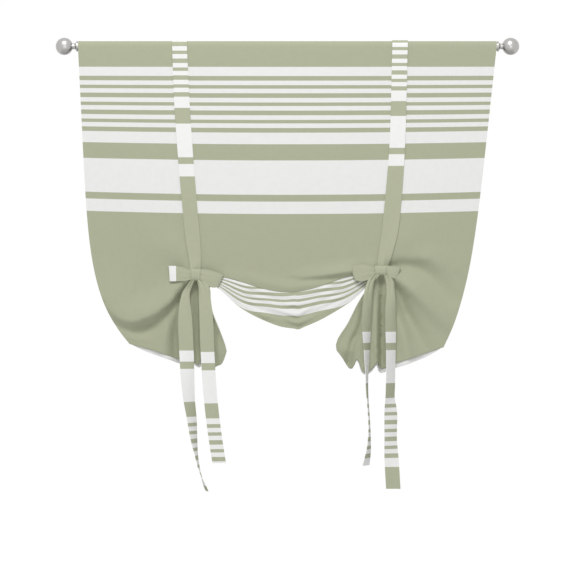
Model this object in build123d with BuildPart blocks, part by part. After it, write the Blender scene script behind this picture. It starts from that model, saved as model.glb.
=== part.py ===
from build123d import *
from math import cos, pi
import os

# Curtain cloth: flat size, thickness and the sewn pocket for the rod
cloth_width = 1168
cloth_length = 1600
cloth_thickness = 1.2
pocket_depth = 75
pocket_ease = 0.8

# Rod and its ball ends
rod_diameter = 25.4
rod_wall = 1.2
rod_past_cloth = 1.0
ball_diameter = 48
ball_neck_diameter = 16
ball_neck_length = 5
flange_diameter = 29
flange_length = 9
plug_length = 22
plug_clearance = 0.1
stud_diameter = 6
stud_clearance = 0.2
stud_length = 16

# Ties: flat straps sewn in at the rod, knotted under the gathered cloth
tie_width = 40
tie_thickness = 1.4
tie_clearance = 0.6
knot_height = 24
knot_depth = 15
knot_rounding = 5
bow_thickness = 11
tail_stand_off = 16
rolled_tie_radius = 4

# How the gathered cloth hangs: layers of the folds and their heights
front_lean = 6
layer_gap_middle = 9
layer_gap_knot = 5.4
swag_drop = 49
hem_drop = 144
hem_tip_shift = 0.1
second_fold_lift = 6
second_fold_show = 13
hem_tuck = 45
pleat_depth = 9
pleat_rise = 12
seat = 0.3

# Cloth used by the pocket, the front layer and the turns; the rest lies in four folded layers behind
folded_layers = 4
used_in_front_knot = 780
used_in_front_middle = 848
used_in_front_edge = 1000
fold_height_knot = (cloth_length - used_in_front_knot) / folded_layers
fold_height_middle = (cloth_length - used_in_front_middle) / folded_layers
fold_height_edge = (cloth_length - used_in_front_edge) / folded_layers

# How many cuts the cloth is drawn through: between the knots, per pleat, and out to the edge
middle_cuts = 10
pleat_cuts = 6
plain_cuts = 6


class Half:
    """The sizes of one half of the gathered cloth, all measured outwards from the middle."""

    def __init__(self, name, sign, **sizes):
        self.name = name
        self.sign = sign
        self.__dict__.update(sizes)


left = Half(
    "left", -1,
    strap_top=300, knot_x=254.6, knot_z=-640, cut_x=230,
    edge_lean=42, edge_tuck=109, edge_power=6.9, edge_reach=850,
    flap=[(216, -679), (210.6, -741), (188, -799), (172, -849)],
    lowest_x=235, lowest_z=-890, corner_x=437, corner_z=-829,
    pleat_x=285, pleat_pitch=66, pleats_end=335, knot_width=27,
    inner_bow=[(0, 11), (18, 16), (63, 22), (56, -17), (38, -27), (0, -11)],
    outer_bow=[(0, 11), (15, 16), (46, 27), (59, 26), (58, -17), (30, -17), (0, -9)],
    inner_tail=[(-20, -18.5, 8, 0), (-34, -18, 10, 0), (-70, -22, 30, 8), (-212, -34, 37, 0), (-352, -45, 36, 12),
                (-458, -57, 36, 4), (-523, -67, 36, 6)],
    outer_tail=[(-20, 6, 14, 0), (-34, 12, 16, 0), (-70, 24, 30, 20), (-212, 25, 38, 0), (-352, 16, 38, 35),
                (-416, 7, 38, 60), (-476, -2, 38, 75), (-542, -13, 38, 86), (-606, -30, 30, 70)],
)
right = Half(
    "right", 1,
    strap_top=313, knot_x=259, knot_z=-625, cut_x=240,
    edge_lean=94, edge_tuck=60, edge_power=6.0, edge_reach=860,
    flap=[(213, -679), (172, -769), (138, -844), (142, -858)],
    lowest_x=225, lowest_z=-902, corner_x=430, corner_z=-838,
    pleat_x=296, pleat_pitch=58, pleats_end=345, knot_width=33,
    inner_bow=[(0, 12), (22, 17), (56, 13), (63, 0), (56, -22), (38, -28), (20, -22), (0, -10)],
    outer_bow=[(0, 11), (30, 10), (38, 7), (30, -20), (18, -22), (0, -11)],
    inner_tail=[(-20, -21.5, 8, 0), (-34, -21, 10, 0), (-75, -34, 26, 30), (-172, -40, 34, 45), (-222, -39, 34, 58),
                (-316, -38, 38, 78), (-472, -33, 38, 74), (-540, -42, 34, 55)],
    outer_tail=[(-20, 8, 14, 0), (-34, 16, 16, 0), (-75, 24, 28, 20), (-172, 27, 38, 38), (-316, 27, 38, 42),
                (-422, 27, 38, 30), (-548, 31, 40, 0), (-608, 34, 40, 0)],
)
halves = [left, right]

half_width = cloth_width / 2
half_cloth = cloth_thickness / 2
rod_radius = rod_diameter / 2
wrap_radius = rod_radius + pocket_ease + half_cloth
pocket_low = wrap_radius - pocket_depth


def ease(start, end, value):
    """A smooth step from 0 at start to 1 at end."""
    share = min(max((value - start) / (end - start), 0), 1)
    return share * share * (3 - 2 * share)


def blend(first, second, share):
    return first + (second - first) * share


def blend_list(first, last, steps):
    return [blend(first, last, step / steps) for step in range(steps + 1)]


def knot_height_at(x):
    """Height of the line between the two knots, carried on level outside them."""
    share = (x + left.cut_x) / (left.cut_x + right.cut_x)
    return blend(left.knot_z, right.knot_z, min(max(share, 0), 1))


def outwards(half, x):
    """How far x lies between the knot and the cloth's corner, 0 to 1."""
    share = (half.sign * x - half.cut_x) / (half.corner_x - half.cut_x)
    return min(max(share, 0), 1)


def inwards(x):
    """1 in the middle of the swag, 0 at the knots."""
    half = left if x < 0 else right
    return 1 - min(abs(x) / half.cut_x, 1) ** 2


def layer_gap(x):
    half = left if x < 0 else right
    middle = layer_gap_middle * inwards(x)
    knot = layer_gap_knot * (1 - inwards(x))
    wide = (layer_gap_middle - layer_gap_knot) * ease(0, 0.4, outwards(half, x))
    return middle + knot + wide


def front(x, z):
    """Depth of the middle of the front layer."""
    return -wrap_radius - front_lean * ease(0, left.knot_z, z)


def pleat(half, x):
    """The pleats under a knot: 1 on a ridge, -1 in a valley, none towards the corner."""
    reach = half.sign * x
    fade = 1 - ease(half.pleats_end - half.pleat_pitch / 2, half.pleats_end + half.pleat_pitch / 2, reach)
    return fade * cos((reach - half.pleat_x) * 2 * pi / half.pleat_pitch)


def fold_tops(x):
    half = left if x < 0 else right
    middle = inwards(x)
    outer = outwards(half, x)
    height = blend(fold_height_knot, fold_height_middle, middle)
    low = knot_height_at(x) - swag_drop * middle ** 2.6
    edge_top = half.corner_z + fold_height_edge
    first = blend(low + height, edge_top, ease(0, 1, outer))
    return first, first - 8 + 24 * ease(0, 1, outer)


def middle_folds(x):
    """Heights of the folds between the knots: low, top, low, top, hem."""
    low = knot_height_at(x) - swag_drop * inwards(x) ** 2.6
    share = x / (left.cut_x if x < 0 else right.cut_x) - hem_tip_shift
    share = share / (1 + hem_tip_shift) if share < 0 else share / (1 - hem_tip_shift)
    hem = knot_height_at(x) - 3 - hem_drop * (1 - abs(share) ** 1.8)
    first, second = fold_tops(x)
    return low, first, low + second_fold_lift + 14 * inwards(x), second, hem


def ear_folds(half, x):
    """Heights of the folds in the cloth that hangs beside and under a knot."""
    reach = half.sign * x
    span = half.corner_x - half.lowest_x
    climb = (min(reach, half.corner_x) - half.lowest_x) / span
    rise = (half.corner_z - half.lowest_z) * climb**2
    corner = 36 * ease(half.flap[-1][0] + 32, half.flap[-1][0] - 6, reach)
    low = half.lowest_z + rise + corner + pleat_rise * (1 - pleat(half, x)) / 2
    first, second = fold_tops(x)
    show = blend(-second_fold_lift, second_fold_show, ease(0.2, 0.6, outwards(half, x)))
    return low, first, low - show, second, low + hem_tuck


def layer_points(x, index, top, knee, low, sway, gap):
    """One layer of the folded cloth in the cut at x: top, knee and bottom, mid-thickness."""
    shift = index * gap
    return [
        (front(x, top) + shift, top),
        (front(x, knee) + shift, knee),
        (front(x, low) + shift + sway, low),
    ]


def moved(points, shift):
    return [(y + shift, z) for y, z in points]


def turn(first, last, bulge):
    """A rounded fold between two neighbouring layers, as three short runs."""
    reach = (last[0] - first[0]) / 2
    height = first[1] + bulge * abs(reach)
    return Polyline(
        first,
        (first[0] + reach * 0.55, height),
        (last[0] - reach * 0.55, height),
        last,
    )


def cloth_cut(x, folds, sway):
    """The closed outline of the folded cloth where it is cut at x, edge by edge."""
    low_1, top_1, low_2, top_2, hem = folds
    gap = layer_gap(x)
    knee = min(knot_height_at(x), top_1 - 2 * gap, top_2 - 2 * gap)
    knee = max(knee, low_1 + 2 * gap, low_2 + 2 * gap)
    round_low = gap / 2
    layers = [
        layer_points(x, 0, 0, knee, low_1 + round_low, sway, gap),
        layer_points(x, 1, top_1 - round_low, knee, low_1 + round_low, sway, gap),
        layer_points(x, 2, top_1 - round_low, knee, low_2 + round_low, sway, gap),
        layer_points(x, 3, top_2 - round_low, knee, low_2 + round_low, sway, gap),
        layer_points(x, 4, top_2 - round_low, knee, hem, sway, gap),
    ]
    near = [moved(points, -half_cloth) for points in layers]
    far = [moved(points, half_cloth) for points in layers]
    flap = [
        (wrap_radius, 0),
        (wrap_radius, -rod_radius / 2),
        (front(x, pocket_low) + cloth_thickness + seat, pocket_low),
    ]
    flap_near = moved(flap, -half_cloth)
    flap_far = moved(flap, half_cloth)
    with BuildLine(Plane.YZ.offset(x)):
        runs = [
            Polyline(near[0]),
            turn(near[0][-1], far[1][-1], -1),
            Polyline(far[1][::-1]),
            turn(far[1][0], near[2][0], 1),
            Polyline(near[2]),
            turn(near[2][-1], far[3][-1], -1),
            Polyline(far[3][::-1]),
            turn(far[3][0], near[4][0], 1),
            Polyline(near[4]),
            Line(near[4][-1], far[4][-1]),
            Polyline(far[4][::-1]),
            turn(far[4][0], near[3][0], 1),
            Polyline(near[3]),
            turn(near[3][-1], far[2][-1], -1),
            Polyline(far[2][::-1]),
            turn(far[2][0], near[1][0], 1),
            Polyline(near[1]),
            turn(near[1][-1], far[0][-1], -1),
            Polyline(far[0][::-1]),
            ThreePointArc(far[0][0], (0, -far[0][0][0]), flap_near[0]),
            Polyline(flap_near),
            Line(flap_near[-1], flap_far[-1]),
            Polyline(flap_far[::-1]),
            ThreePointArc(flap_far[0], (0, flap_far[0][0]), near[0][0]),
        ]
    return [edge for run in runs for edge in run.edges()]


def skin(cuts):
    """The solid through a row of like cuts, closed by the first and the last."""
    faces = [Face(Wire(cuts[0])), Face(Wire(cuts[-1]))]
    for first, second in zip(cuts, cuts[1:]):
        for near_edge, far_edge in zip(first, second):
            faces.append(Face.make_surface_from_curves(near_edge, far_edge))
    return Solid(Shell(faces))


def edge_line(half, z):
    """How far out the cloth's side edge hangs at height z."""
    share = max(wrap_radius - z, 0) / half.edge_reach
    return half_width - half.edge_lean * share - half.edge_tuck * share**half.edge_power


def ear_cuts(half):
    """The cuts through the cloth beside one knot, from its free flap to past the side edge."""
    first = half.flap[-1][0] - 12
    pleated = pleat_cuts * round((half.pleats_end - first) / half.pleat_pitch)
    reaches = [blend(first, half.pleats_end, step / pleated) for step in range(pleated)]
    plain = blend_list(half.pleats_end, half_width + 10, plain_cuts)
    cuts = []
    for reach in reaches + plain:
        x = half.sign * reach
        cuts.append(cloth_cut(x, ear_folds(half, x), -pleat_depth * pleat(half, x)))
    return cuts


def hanging_outline(half):
    """The outline that trims the cloth beside one knot: side edge, cut and free flap."""
    above = 2 * rod_radius
    below = half.lowest_z - 2 * pleat_rise
    inside = half.flap[-1][0] - 12
    side_heights = blend_list(above, below, 14)
    with BuildLine() as outline:
        side = Spline([(half.sign * edge_line(half, z), z) for z in side_heights])
        cut = Polyline(
            side @ 0,
            (half.sign * half.cut_x, above),
            (half.sign * half.cut_x, half.flap[0][1] + 8),
        )
        flap = Spline(
            [cut @ 1] + [(half.sign * x, z) for x, z in half.flap] + [(half.sign * inside, below)]
        )
        Line(flap @ 1, side @ 1)
    return outline.line


def strap_x(half, z):
    """Middle of a strap at height z: straight from the rod to the knot."""
    return half.sign * blend(half.strap_top, half.knot_x, z / half.knot_z)


def tie_front(z):
    """Depth of the middle of a front strap."""
    return front(0, z) - half_cloth - tie_clearance - tie_thickness / 2


def knot_depth_at(half):
    """Depth of the middle of a knot, which sits on the front strap."""
    return tie_front(half.knot_z) - knot_depth / 2 + tie_thickness / 2


def over_rod(half, way):
    """The start of a strap, bent over the top of the pocket to the front, -1, or the back, 1."""
    inner = wrap_radius + half_cloth + tie_clearance
    outer = inner + tie_thickness
    with BuildPart() as bend:
        with BuildSketch(Plane.YZ.offset(half.sign * half.strap_top - tie_width / 2)):
            Circle(outer)
            Circle(inner, mode=Mode.SUBTRACT)
            with Locations((way * (outer + seat / 2), outer)):
                Rectangle(2 * outer, 2 * outer, mode=Mode.INTERSECT)
        extrude(amount=tie_width)
    return bend.part


def strap(places):
    """A flat strap through level cuts: height, middle x, middle y, width, thickness, turn."""
    with BuildPart() as band:
        for z, x, y, width, thickness, angle in places:
            with BuildSketch(Plane.XY.offset(z)):
                with Locations((x, y)):
                    Rectangle(width, thickness, rotation=angle)
        loft(ruled=True)
    return band.part


def loop_outline(start, y, length, half_depth):
    """A long closed drop seen from above: flat where it leaves the knot, round at its end."""
    with BuildLine() as drop:
        sides = Spline(
            (start, y - half_depth / 2),
            (start + length * 0.6, y - half_depth),
            (start + length, y),
            (start + length * 0.6, y + half_depth),
            (start, y + half_depth / 2),
        )
        Line(sides @ 1, sides @ 0)
    return drop.line


def bow_loop(half, outline, direction, into_knot):
    """One loop of the bow: a flat closed loop of strap, cut to its outline from the front."""
    y = knot_depth_at(half)
    reach = max(x for x, z in outline) + 2
    start = half.sign * half.knot_x + direction * (half.knot_width / 2 - into_knot)
    low = half.knot_z + min(z for x, z in outline)
    high = half.knot_z + max(z for x, z in outline)
    inner_start = start + direction * tie_thickness
    inner_reach = direction * (reach - 2 * tie_thickness)
    with BuildPart() as loop:
        with BuildSketch(Plane.XY.offset(low)):
            add(loop_outline(start, y, direction * reach, bow_thickness / 2))
            make_face()
        extrude(amount=high - low)
        with BuildSketch(Plane.XY.offset(low)):
            add(loop_outline(inner_start, y, inner_reach, bow_thickness / 2 - tie_thickness))
            make_face()
        extrude(amount=high - low, mode=Mode.SUBTRACT)
        with BuildSketch(Plane.XZ):
            with BuildLine():
                Polyline([(start + direction * x, half.knot_z + z) for x, z in outline], close=True)
            make_face()
        extrude(amount=100, both=True, mode=Mode.INTERSECT)
    return loop.part


def tail_places(half, tail):
    """Level cuts of a tail that hangs from a knot, given by drop, sideways place, width, turn."""
    y = knot_depth_at(half)
    places = []
    for drop, side, width, angle in tail:
        stand_off = tail_stand_off * ease(-20, -120, drop)
        x = half.sign * (half.knot_x + side)
        z = half.knot_z + drop + knot_height / 2
        places.append((z, x, y - stand_off, width, tie_thickness, half.sign * angle))
    return places


def ear_of_cloth(half):
    """The cloth that hangs beside one knot, trimmed to its outline."""
    with BuildPart() as ear:
        add(skin(ear_cuts(half)))
        with BuildSketch(Plane.XZ):
            add(hanging_outline(half))
            make_face()
        extrude(amount=80, both=True, mode=Mode.INTERSECT)
    return ear.part


# Curtain cloth: one sheet, folded up in layers between and beside the knots
ears = [ear_of_cloth(half) for half in halves]
middle = blend_list(-left.cut_x, right.cut_x, middle_cuts)
with BuildPart() as curtain_panel:
    add(skin([cloth_cut(x, middle_folds(x), 0) for x in middle]))
    add(ears)

# Rod tube
rod_length = cloth_width + 2 * rod_past_cloth
with BuildPart() as rod_tube:
    with BuildSketch(Plane.YZ.offset(-rod_length / 2)):
        Circle(rod_radius)
        Circle(rod_radius - rod_wall, mode=Mode.SUBTRACT)
    extrude(amount=rod_length)

os.makedirs("parts", exist_ok=True)
pieces = {"curtain_panel": curtain_panel.part, "rod_tube": rod_tube.part}

for half in halves:
    # Threaded plug inside the end of the rod
    end = half.sign * rod_length / 2
    with BuildPart() as plug:
        with BuildSketch(Plane.YZ.offset(end)):
            Circle(rod_radius - rod_wall - plug_clearance)
            Circle(stud_diameter / 2 + stud_clearance, mode=Mode.SUBTRACT)
        extrude(amount=-half.sign * plug_length)
    pieces[f"rod_plug_{half.name}"] = plug.part

    # Turned ball end: ball, neck and flange on a threaded stud
    flange_start = rod_length / 2 + seat
    flange_end = flange_start + flange_length
    ball_centre = flange_end + ball_neck_length + ball_diameter / 2 - 1
    with BuildPart() as ball_end:
        with BuildSketch(Plane.XY):
            with BuildLine():
                stud = Polyline(
                    (flange_start - stud_length, 0),
                    (flange_start - stud_length, stud_diameter / 2),
                    (flange_start, stud_diameter / 2),
                    (flange_start, flange_diameter / 2),
                    (flange_start + flange_length / 3, flange_diameter / 2),
                )
                flare = Spline(
                    stud @ 1,
                    (flange_end - flange_length / 3, ball_neck_diameter / 2 + 1.5),
                    (flange_end, ball_neck_diameter / 2),
                )
                neck = Line(flare @ 1, (flange_end + ball_neck_length, ball_neck_diameter / 2))
                Line(neck @ 1, (ball_centre, ball_neck_diameter / 2))
                Line((ball_centre, ball_neck_diameter / 2), (ball_centre, 0))
                Line((ball_centre, 0), stud @ 0)
            make_face()
        revolve(axis=Axis.X)
        with Locations((ball_centre, 0, 0)):
            Sphere(ball_diameter / 2)
    shape = ball_end.part if half.sign > 0 else mirror(ball_end.part, about=Plane.YZ)
    pieces[f"ball_end_{half.name}"] = shape

    # Front tie: strap, knot, outer loop and outer tail
    knot_y = knot_depth_at(half)
    heights = [0, half.knot_z / 2, half.knot_z + 2 * tie_width]
    front_run = [(z, strap_x(half, z), tie_front(z), tie_width, tie_thickness, 0) for z in heights]
    into_knot = (half.knot_z, strap_x(half, half.knot_z), knot_y, half.knot_width - 2, 3, 0)
    front_pieces = [
        over_rod(half, -1),
        strap(front_run + [into_knot]),
        bow_loop(half, half.outer_bow, half.sign, 3),
        strap(tail_places(half, half.outer_tail)),
    ]
    with BuildPart() as front_tie:
        with Locations((half.sign * half.knot_x, knot_y, half.knot_z)):
            Box(half.knot_width, knot_depth, knot_height)
        fillet(front_tie.edges(), knot_rounding)
        add(front_pieces)
    pieces[f"front_tie_{half.name}"] = front_tie.part

    # Back tie: strap behind the cloth, rolled under it to the bow's inner loop and tail
    back_y = wrap_radius + half_cloth + tie_clearance + tie_thickness / 2
    through_x = half.sign * (half.cut_x - 9)
    through_z = half.knot_z - knot_height
    rolled_width = 2 * rolled_tie_radius
    roll_start = (strap_x(half, half.knot_z), back_y + 2, half.knot_z + tie_width / 2)
    back_run = [(z, strap_x(half, z), back_y, tie_width, tie_thickness, 0) for z in heights]
    into_roll = (roll_start[2], roll_start[0], roll_start[1], rolled_width, rolled_width, 0)
    back_pieces = [
        over_rod(half, 1),
        strap(back_run + [into_roll]),
        bow_loop(half, half.inner_bow, -half.sign, -seat),
        strap(tail_places(half, half.inner_tail)),
    ]
    with BuildPart() as back_tie:
        with BuildLine():
            roll_way = FilletPolyline(
                roll_start,
                (through_x, back_y + 2, through_z),
                (through_x, knot_y - 2, through_z),
                (half.sign * (half.knot_x - half.knot_width / 2 - 5), knot_y, half.knot_z - 8),
                radius=rolled_tie_radius + 2,
            )
        with BuildSketch(Plane(origin=roll_way @ 0, z_dir=roll_way % 0)):
            Circle(rolled_tie_radius)
        sweep()
        add(back_pieces)
    pieces[f"back_tie_{half.name}"] = back_tie.part

for name, shape in pieces.items():
    shape.label = name
    export_step(shape, f"parts/{name}.step")
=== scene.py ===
from math import cos, hypot, pi, radians, sin

import bpy
import numpy as np
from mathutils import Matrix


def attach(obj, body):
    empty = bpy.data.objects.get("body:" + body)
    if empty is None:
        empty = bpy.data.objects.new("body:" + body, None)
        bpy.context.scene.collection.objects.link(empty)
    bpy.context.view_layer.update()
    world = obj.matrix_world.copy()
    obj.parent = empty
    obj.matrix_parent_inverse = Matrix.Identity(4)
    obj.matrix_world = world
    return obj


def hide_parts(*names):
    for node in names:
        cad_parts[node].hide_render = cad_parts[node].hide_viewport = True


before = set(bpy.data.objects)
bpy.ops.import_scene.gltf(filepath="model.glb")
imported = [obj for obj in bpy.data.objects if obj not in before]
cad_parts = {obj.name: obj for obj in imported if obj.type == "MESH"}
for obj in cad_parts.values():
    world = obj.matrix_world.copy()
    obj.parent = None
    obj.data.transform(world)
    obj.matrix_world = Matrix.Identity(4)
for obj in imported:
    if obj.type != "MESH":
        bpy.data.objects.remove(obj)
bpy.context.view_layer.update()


# Rod and plugs: a 1 in steel tube, nickel plated, hidden by the sewn pocket of
# the curtain. A moulded plug with a threaded hole is pressed into each end and
# takes the stud of a ball end.
def new_group(name, inputs, outputs):
    """An empty shader node group with these named inputs and outputs."""
    group = bpy.data.node_groups.new(name, "ShaderNodeTree")
    for label, start in inputs:
        socket = group.interface.new_socket(label, in_out="INPUT", socket_type="NodeSocketFloat")
        socket.default_value = start
    for label, kind in outputs:
        group.interface.new_socket(label, in_out="OUTPUT", socket_type=kind)
    group.nodes.new("NodeGroupInput").name = "in"
    group.nodes.new("NodeGroupOutput").name = "out"
    return group


def add_node(tree, kind, **settings):
    """A node of this kind, its properties set, and its inputs set by name where they aren't one."""
    node = tree.nodes.new("ShaderNode" + kind)
    for label, value in settings.items():
        if hasattr(node, label):
            setattr(node, label, value)
        else:
            node.inputs[label.replace("_", " ").title()].default_value = value
    return node


def turned_metal_group():
    """Fine rings left by turning and brushing about the rod's axis."""
    group = new_group(
        "turned_metal",
        [("Rings", 900.0), ("Depth", 0.5), ("Shine", 0.3)],
        [("Height", "NodeSocketFloat"), ("Roughness", "NodeSocketFloat")],
    )
    place = add_node(group, "TexCoord")
    squeeze = add_node(group, "Mapping")
    squeeze.inputs["Scale"].default_value = (1.0, 0.02, 0.02)
    rings = add_node(group, "TexNoise", noise_dimensions="3D")
    rings.inputs["Detail"].default_value = 3.0
    height = add_node(group, "Math", operation="MULTIPLY")
    uneven = add_node(group, "Math", operation="MULTIPLY_ADD")
    uneven.inputs[1].default_value = 0.14
    group.links.new(place.outputs["Object"], squeeze.inputs["Vector"])
    group.links.new(squeeze.outputs["Vector"], rings.inputs["Vector"])
    group.links.new(group.nodes["in"].outputs["Rings"], rings.inputs["Scale"])
    group.links.new(rings.outputs["Fac"], height.inputs[0])
    group.links.new(group.nodes["in"].outputs["Depth"], height.inputs[1])
    group.links.new(rings.outputs["Fac"], uneven.inputs[0])
    group.links.new(group.nodes["in"].outputs["Shine"], uneven.inputs[2])
    group.links.new(height.outputs[0], group.nodes["out"].inputs["Height"])
    group.links.new(uneven.outputs[0], group.nodes["out"].inputs["Roughness"])
    return group


turned_metal = turned_metal_group()


def metal(name, colour, rings, depth, shine):
    """Nickel with the rings of its turning; shine is the roughness of its smoothest places."""
    material = bpy.data.materials.new(name)
    material.use_nodes = True
    tree = material.node_tree
    shader = tree.nodes["Principled BSDF"]
    shader.inputs["Base Color"].default_value = (*colour, 1)
    shader.inputs["Metallic"].default_value = 1.0
    finish = add_node(tree, "Group", node_tree=turned_metal)
    finish.inputs["Rings"].default_value = rings
    finish.inputs["Depth"].default_value = depth
    finish.inputs["Shine"].default_value = shine
    bump = add_node(tree, "Bump", strength=0.15, distance=0.0002)
    tree.links.new(finish.outputs["Height"], bump.inputs["Height"])
    tree.links.new(bump.outputs["Normal"], shader.inputs["Normal"])
    tree.links.new(finish.outputs["Roughness"], shader.inputs["Roughness"])
    return material


def finish_node(node, material):
    """Gives a CAD node its material."""
    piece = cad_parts[node]
    for slot in piece.material_slots:
        slot.material = material
    if not piece.material_slots:
        piece.data.materials.append(material)


finish_node("rod_tube", metal("plated_tube", (0.52, 0.51, 0.49), 500.0, 0.4, 0.32))

plug_plastic = bpy.data.materials.new("plug_plastic")
plug_plastic.use_nodes = True
plug_shader = plug_plastic.node_tree.nodes["Principled BSDF"]
plug_shader.inputs["Base Color"].default_value = (0.05, 0.05, 0.05, 1)
plug_shader.inputs["Roughness"].default_value = 0.6
for side in ("left", "right"):
    finish_node(f"rod_plug_{side}", plug_plastic)


# Ball ends: a turned ball, neck and flange of brushed nickel, screwed into the
# rod by a stud, so that the flange closes the mouth of the pocket.
ball_nickel = metal("ball_nickel", (0.47, 0.465, 0.45), 1100.0, 0.5, 0.26)
for side in ("left", "right"):
    finish_node(f"ball_end_{side}", ball_nickel)


# Curtain: one cloth of woven polyester, 1168 by 1600 mm, printed on its face
# with sage green and white stripes that mirror towards the hem. Its top is sewn
# into a pocket for the rod. The ties gather it: between them it hangs in a swag
# with the striped hem below, beside them in two fanned ears of five layers.
flat_width = 1168
flat_length = 1600
cloth_thickness = 0.8
pocket_radius = 14.1
pocket_depth = 75
cloth_top = 17
front_lean = 6
green = (0.405, 0.425, 0.300)
white = (0.80, 0.80, 0.79)

# Places of the printed edges below the curtain's top, green first, in millimetres
pocket_band = 74.5
thin_stripe = 10.6
thin_pitch = 23.5
thin_count = 7
first_thin = 99.6
wide_stripes = [283.6, 325.5, 420.3, 438.4, 473.3]
print_edges = [0, pocket_band]
for stripe in range(thin_count):
    stripe_top = first_thin + stripe * thin_pitch
    print_edges += [stripe_top, stripe_top + thin_stripe]
print_edges += wide_stripes


def smooth(start, end, value):
    """A smooth step from 0 at start to 1 at end."""
    share = np.clip((value - start) / (end - start), 0, 1)
    return share * share * (3 - 2 * share)


def along(points, place):
    """A value read off a smooth line through (place, value) points, level past its ends."""
    places = [p[0] for p in points]
    values = [p[1] for p in points]
    slopes = np.gradient(values, places)
    place = np.clip(place, places[0], places[-1])
    k = np.clip(np.searchsorted(places, place) - 1, 0, len(places) - 2)
    start = np.take(places, k)
    run = np.take(places, k + 1) - start
    s = (place - start) / run
    from_start = (2 * s**3 - 3 * s**2 + 1) * np.take(values, k)
    from_end = (3 * s**2 - 2 * s**3) * np.take(values, k + 1)
    bend_start = (s**3 - 2 * s**2 + s) * run * np.take(slopes, k)
    bend_end = (s**3 - s**2) * run * np.take(slopes, k + 1)
    return from_start + from_end + bend_start + bend_end


class Ear:
    """One side of the gathered cloth, beside its knot. Places are measured outwards. Over its reach
    the side edge comes in by lean evenly and by tuck low down. flap is the flap's edge as (height,
    place), and bottom the lowest fold as (share of the way out, height)."""

    def __init__(self, **sizes):
        self.__dict__.update(sizes)


left = Ear(
    name="left", sign=-1, seam_top=262, notch_x=230, notch_z=-640, knot_x=254.6, knot_z=-640,
    lean=42, tuck=109, power=6.9, reach=850, corner=-852,
    flap=[(-905, 172), (-849, 172), (-799, 188), (-741, 210.6), (-690, 219), (-660, 231), (-640, 230)],
    bottom=[(0, -852), (0.06, -884), (0.12, -890), (0.24, -891), (0.30, -874), (0.38, -886),
            (0.47, -866), (0.56, -873), (0.70, -858), (0.83, -844), (1, -829)],
)
right = Ear(
    name="right", sign=1, seam_top=272, notch_x=240, notch_z=-632, knot_x=259, knot_z=-625,
    lean=94, tuck=60, power=6.0, reach=860, corner=-850,
    flap=[(-920, 150), (-858, 143.6), (-844, 138), (-769, 172), (-693, 212), (-655, 240), (-632, 240)],
    bottom=[(0, -850), (0.05, -880), (0.12, -898), (0.17, -872), (0.24, -903), (0.34, -898),
            (0.38, -880), (0.44, -897), (0.55, -886), (0.80, -861), (1, -838)],
)

# An ear's share of cloth in its flap, and how far its threads fan out at the flap's edge
flap_share = 0.22
flap_band = 16


def side_edge(ear, z):
    """How far out the cloth's side edge hangs at height z."""
    share = np.maximum((pocket_radius - z) / ear.reach, 0)
    return flat_width / 2 - ear.lean * share - ear.tuck * share**ear.power


def flap_edge(ear, z, down):
    """The inner side of an ear at height z: the line of the seam above the notch, then the flap's edge.
    down is how far along the flap, 0 to 1, this thread of the cloth reaches its fold."""
    fold = ear.notch_z + down * (ear.corner - ear.notch_z)
    spread = flap_band / (ear.notch_z - ear.corner)
    above = (pocket_radius - z) / (pocket_radius - ear.notch_z)
    seam = ear.seam_top + (ear.notch_x - ear.seam_top) * above + spread * (ear.notch_z - fold)
    hanging = along(ear.flap, z) + spread * np.maximum(z - fold, 0)
    return np.where(z > ear.notch_z, seam, hanging)


class Thread:
    """One lengthwise line of the cloth: x at any height, the heights of its folds, the gap
    between its layers, how far they bulge, and its place across the swag, None in an ear."""

    def __init__(self, x_at, folds, gap, fullness, across=None):
        self.x_at = x_at
        self.folds = folds
        self.gap = gap
        self.fullness = fullness
        self.across = across


def ear_thread(ear, share):
    """The thread at this share of an ear, from its notch at 0 round the flap to the side edge at 1."""
    down = min(share / flap_share, 1)
    out = max((share - flap_share) / (1 - flap_share), 0)
    low = ear.notch_z + down * (ear.corner - ear.notch_z)
    if out > 0:
        low = float(along(ear.bottom, out))

    def x_at(z):
        inner = flap_edge(ear, z, down)
        return ear.sign * (inner + out * (side_edge(ear, z) - inner))

    top = float(along([(0, -430), (flap_share, -570), (0.45, -640), (1, -684)], share))
    second_top = float(along([(0, -440), (flap_share, -560), (0.45, -620), (1, -650)], share))
    show = float(along([(0, 4), (flap_share, 2), (0.5, -9), (0.8, -15), (0.93, -10), (1, 3)], share))
    tuck = float(along([(0, -3), (flap_share, 20), (0.4, 40), (1, 14)], share))
    gap = float(along([(0, 3), (flap_share, 4), (0.5, 3.5), (0.75, 2), (1, 2)], share))
    fullness = float(along([(0, 1), (flap_share, 2), (0.45, 8), (0.75, 15), (1, 8)], share))
    return Thread(x_at, (low, top, low + show, second_top, low + tuck), gap, fullness)


# The swag: how far its front fold sags, and the line of its hem as (x, height)
swag_drop = 49
swag_sag_power = 2.6
hem_line = [(-230, -648), (-191, -676), (-134, -726), (-60, -766), (-15, -782), (20, -787), (31, -789),
            (42, -784), (82, -767), (138, -736), (169, -716), (202, -689), (240, -645)]


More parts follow.
